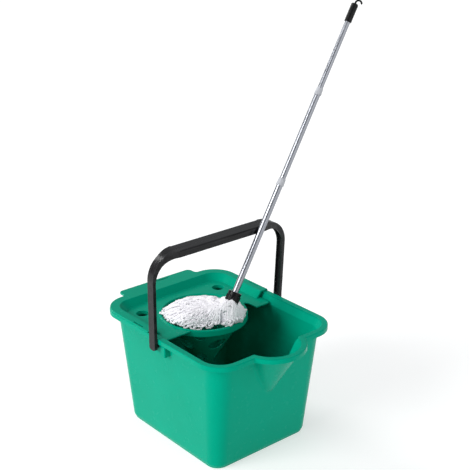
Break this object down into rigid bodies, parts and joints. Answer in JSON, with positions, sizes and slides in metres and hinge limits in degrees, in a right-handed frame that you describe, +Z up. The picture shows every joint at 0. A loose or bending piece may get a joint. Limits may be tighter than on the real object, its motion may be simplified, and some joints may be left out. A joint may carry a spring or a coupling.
{
  "type": "mop and bucket with wringer",
  "caption": "Oblong household bucket with pouring spout, strap bail, drop-in cone wringer and a cotton string mop on a telescopic twist-lock pole.",
  "frame": {"origin": "centre of the bucket's foot, on the surface it stands on", "axes": "+Z up; +X along the bucket's length towards the pouring spout; +Y across it, towards the side the mop pole leans to"},
  "size_m": [0.4766, 0.5474, 0.9057],
  "materials": {
    "bucket_plastic": "satin moulded polypropylene, green",
    "wringer_plastic": "satin moulded polypropylene, green",
    "bail_plastic": "black moulded plastic with a soft sheen",
    "black_plastic": "black moulded plastic",
    "dark_plastic": "dark grey moulded plastic",
    "lock_plastic": "natural grey acetal",
    "collar_plastic": "light grey moulded plastic",
    "pole_metal": "silver anodised tube",
    "zinc_steel": "zinc plated",
    "yarn": "white twisted cotton yarn"
  },
  "bodies": {
    "bucket": {"bucket_shell": "bucket_plastic"},
    "bail": {"bail_handle": "bail_plastic"},
    "wringer": {"wringer_insert": "wringer_plastic"},
    "mop_lower_section": {"lower_tube": "pole_metal", "mop_socket": "black_plastic", "pole_thread_plug": "dark_plastic", "yarn_clamp_plate": "black_plastic", "yarn_clamp_screw": "zinc_steel", "mop_yarn": "yarn", "lower_lock_collar": "collar_plastic"},
    "middle_lock_ring": {"middle_lock_wedge": "lock_plastic"},
    "mop_middle_section": {"middle_tube": "pole_metal", "middle_lock_plug": "dark_plastic", "upper_lock_collar": "collar_plastic"},
    "upper_lock_ring": {"upper_lock_wedge": "lock_plastic"},
    "mop_upper_section": {"upper_tube": "pole_metal", "upper_lock_plug": "dark_plastic", "handle_grip": "black_plastic", "hanging_hook": "black_plastic"}
  },
  "joints": [
    {"name": "bail_swing", "type": "hinge", "parent": "bucket", "child": "bail", "pos_m": [0.003, 0, 0.246], "axis": [0, 1, 0], "range_deg": [-78, 0]},
    {"name": "wringer_lift", "type": "slide", "parent": "bucket", "child": "wringer", "axis": [0, 0, 1], "range_m": [0, 0.1]},
    {"name": "mop_lift", "type": "slide", "parent": "wringer", "child": "mop_lower_section", "axis": [0, 0, -1], "range_m": [-0.1, 0]},
    {"name": "middle_slide", "type": "slide", "parent": "mop_lower_section", "child": "middle_lock_ring", "axis": [0, 0.5009, 0.8655], "range_m": [-0.168, 0]},
    {"name": "middle_twist", "type": "hinge", "parent": "middle_lock_ring", "child": "mop_middle_section", "pos_m": [0.034, 0.0226, 0.3235], "axis": [0, 0.5009, 0.8655], "range_deg": [0, 90]},
    {"name": "upper_slide", "type": "slide", "parent": "mop_middle_section", "child": "upper_lock_ring", "axis": [0, 0.5009, 0.8655], "range_m": [-0.148, 0]},
    {"name": "upper_twist", "type": "hinge", "parent": "upper_lock_ring", "child": "mop_upper_section", "pos_m": [0.034, 0.0226, 0.3235], "axis": [0, 0.5009, 0.8655], "range_deg": [0, 90]}
  ]
}
